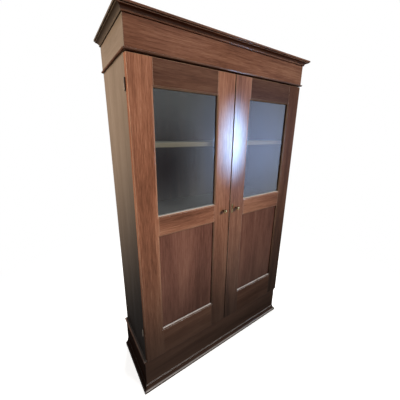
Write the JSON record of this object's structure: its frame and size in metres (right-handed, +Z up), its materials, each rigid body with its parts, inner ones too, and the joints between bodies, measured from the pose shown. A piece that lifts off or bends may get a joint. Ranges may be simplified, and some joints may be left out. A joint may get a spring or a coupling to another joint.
{
  "type": "display cabinet",
  "caption": "Tall display cupboard in dark varnished wood: doors glazed above and panelled below, shelves, a plinth and a moulded cornice.",
  "frame": {"origin": "on the floor, under the middle of the overall box", "axes": "+Z up, +X to the viewer's right when facing the doors, +Y to the back, so that the doors face -Y"},
  "size_m": [1.246, 0.427, 1.992],
  "materials": {
    "varnished_wood": "old glossy varnish on dark reddish-brown hardwood",
    "inside_wood": "stained and left matt",
    "pane_glass": "clear drawn sheet",
    "aged_brass": "handled, slightly tarnished",
    "dark_steel": "oxidised"
  },
  "bodies": {
    "carcase": {"back_boards": "inside_wood", "base_moulding_front": "varnished_wood", "base_moulding_left": "varnished_wood", "base_moulding_right": "varnished_wood", "bolt_keepers": "aged_brass", "carcase_bottom": "inside_wood", "carcase_hinges": "dark_steel", "carcase_top": "inside_wood", "cornice_front": "varnished_wood", "cornice_left": "varnished_wood", "cornice_right": "varnished_wood", "dust_board": "inside_wood", "frieze_back": "inside_wood", "frieze_bead": "varnished_wood", "frieze_front": "varnished_wood", "frieze_glue_blocks": "inside_wood", "frieze_left": "varnished_wood", "frieze_right": "varnished_wood", "hinge_pins": "dark_steel", "left_shelf_bearers": "inside_wood", "left_side": "varnished_wood", "lower_shelf": "inside_wood", "middle_shelf": "inside_wood", "plinth_back": "inside_wood", "plinth_corner_blocks": "inside_wood", "plinth_front": "varnished_wood", "plinth_left": "varnished_wood", "plinth_lip": "varnished_wood", "plinth_right": "varnished_wood", "right_shelf_bearers": "inside_wood", "right_side": "varnished_wood", "upper_shelf": "inside_wood"},
    "left_door": {"left_hinge_stile": "varnished_wood", "left_meeting_stile": "varnished_wood", "left_top_rail": "varnished_wood", "left_middle_rail": "varnished_wood", "left_bottom_rail": "varnished_wood", "left_panel": "varnished_wood", "left_glass": "pane_glass", "left_glazing_beads": "varnished_wood", "left_knob": "aged_brass", "left_door_hinges": "dark_steel", "bolt_plates": "aged_brass", "lock_keep": "aged_brass"},
    "right_door": {"right_hinge_stile": "varnished_wood", "right_meeting_stile": "varnished_wood", "right_top_rail": "varnished_wood", "right_middle_rail": "varnished_wood", "right_bottom_rail": "varnished_wood", "right_panel": "varnished_wood", "right_glass": "pane_glass", "right_glazing_beads": "varnished_wood", "right_knob": "aged_brass", "right_door_hinges": "dark_steel", "escutcheon": "aged_brass", "lock_case": "dark_steel"},
    "lock_bolt": {"lock_bolt": "aged_brass"},
    "upper_bolt": {"upper_bolt": "aged_brass"},
    "lower_bolt": {"lower_bolt": "aged_brass"}
  },
  "joints": [
    {"name": "left_door_hinge", "type": "hinge", "parent": "carcase", "child": "left_door", "pos_m": [-0.5943, -0.157, 1.036], "axis": [0, 0, -1], "range_deg": [0, 170]},
    {"name": "right_door_hinge", "type": "hinge", "parent": "carcase", "child": "right_door", "pos_m": [0.5943, -0.157, 1.036], "axis": [0, 0, 1], "range_deg": [0, 170]},
    {"name": "lock_bolt_slide", "type": "slide", "parent": "right_door", "child": "lock_bolt", "axis": [-1, 0, 0], "range_m": [0, 0.012]},
    {"name": "upper_bolt_slide", "type": "slide", "parent": "left_door", "child": "upper_bolt", "axis": [0, 0, 1], "range_m": [0, 0.012]},
    {"name": "lower_bolt_slide", "type": "slide", "parent": "left_door", "child": "lower_bolt", "axis": [0, 0, -1], "range_m": [0, 0.012]}
  ]
}
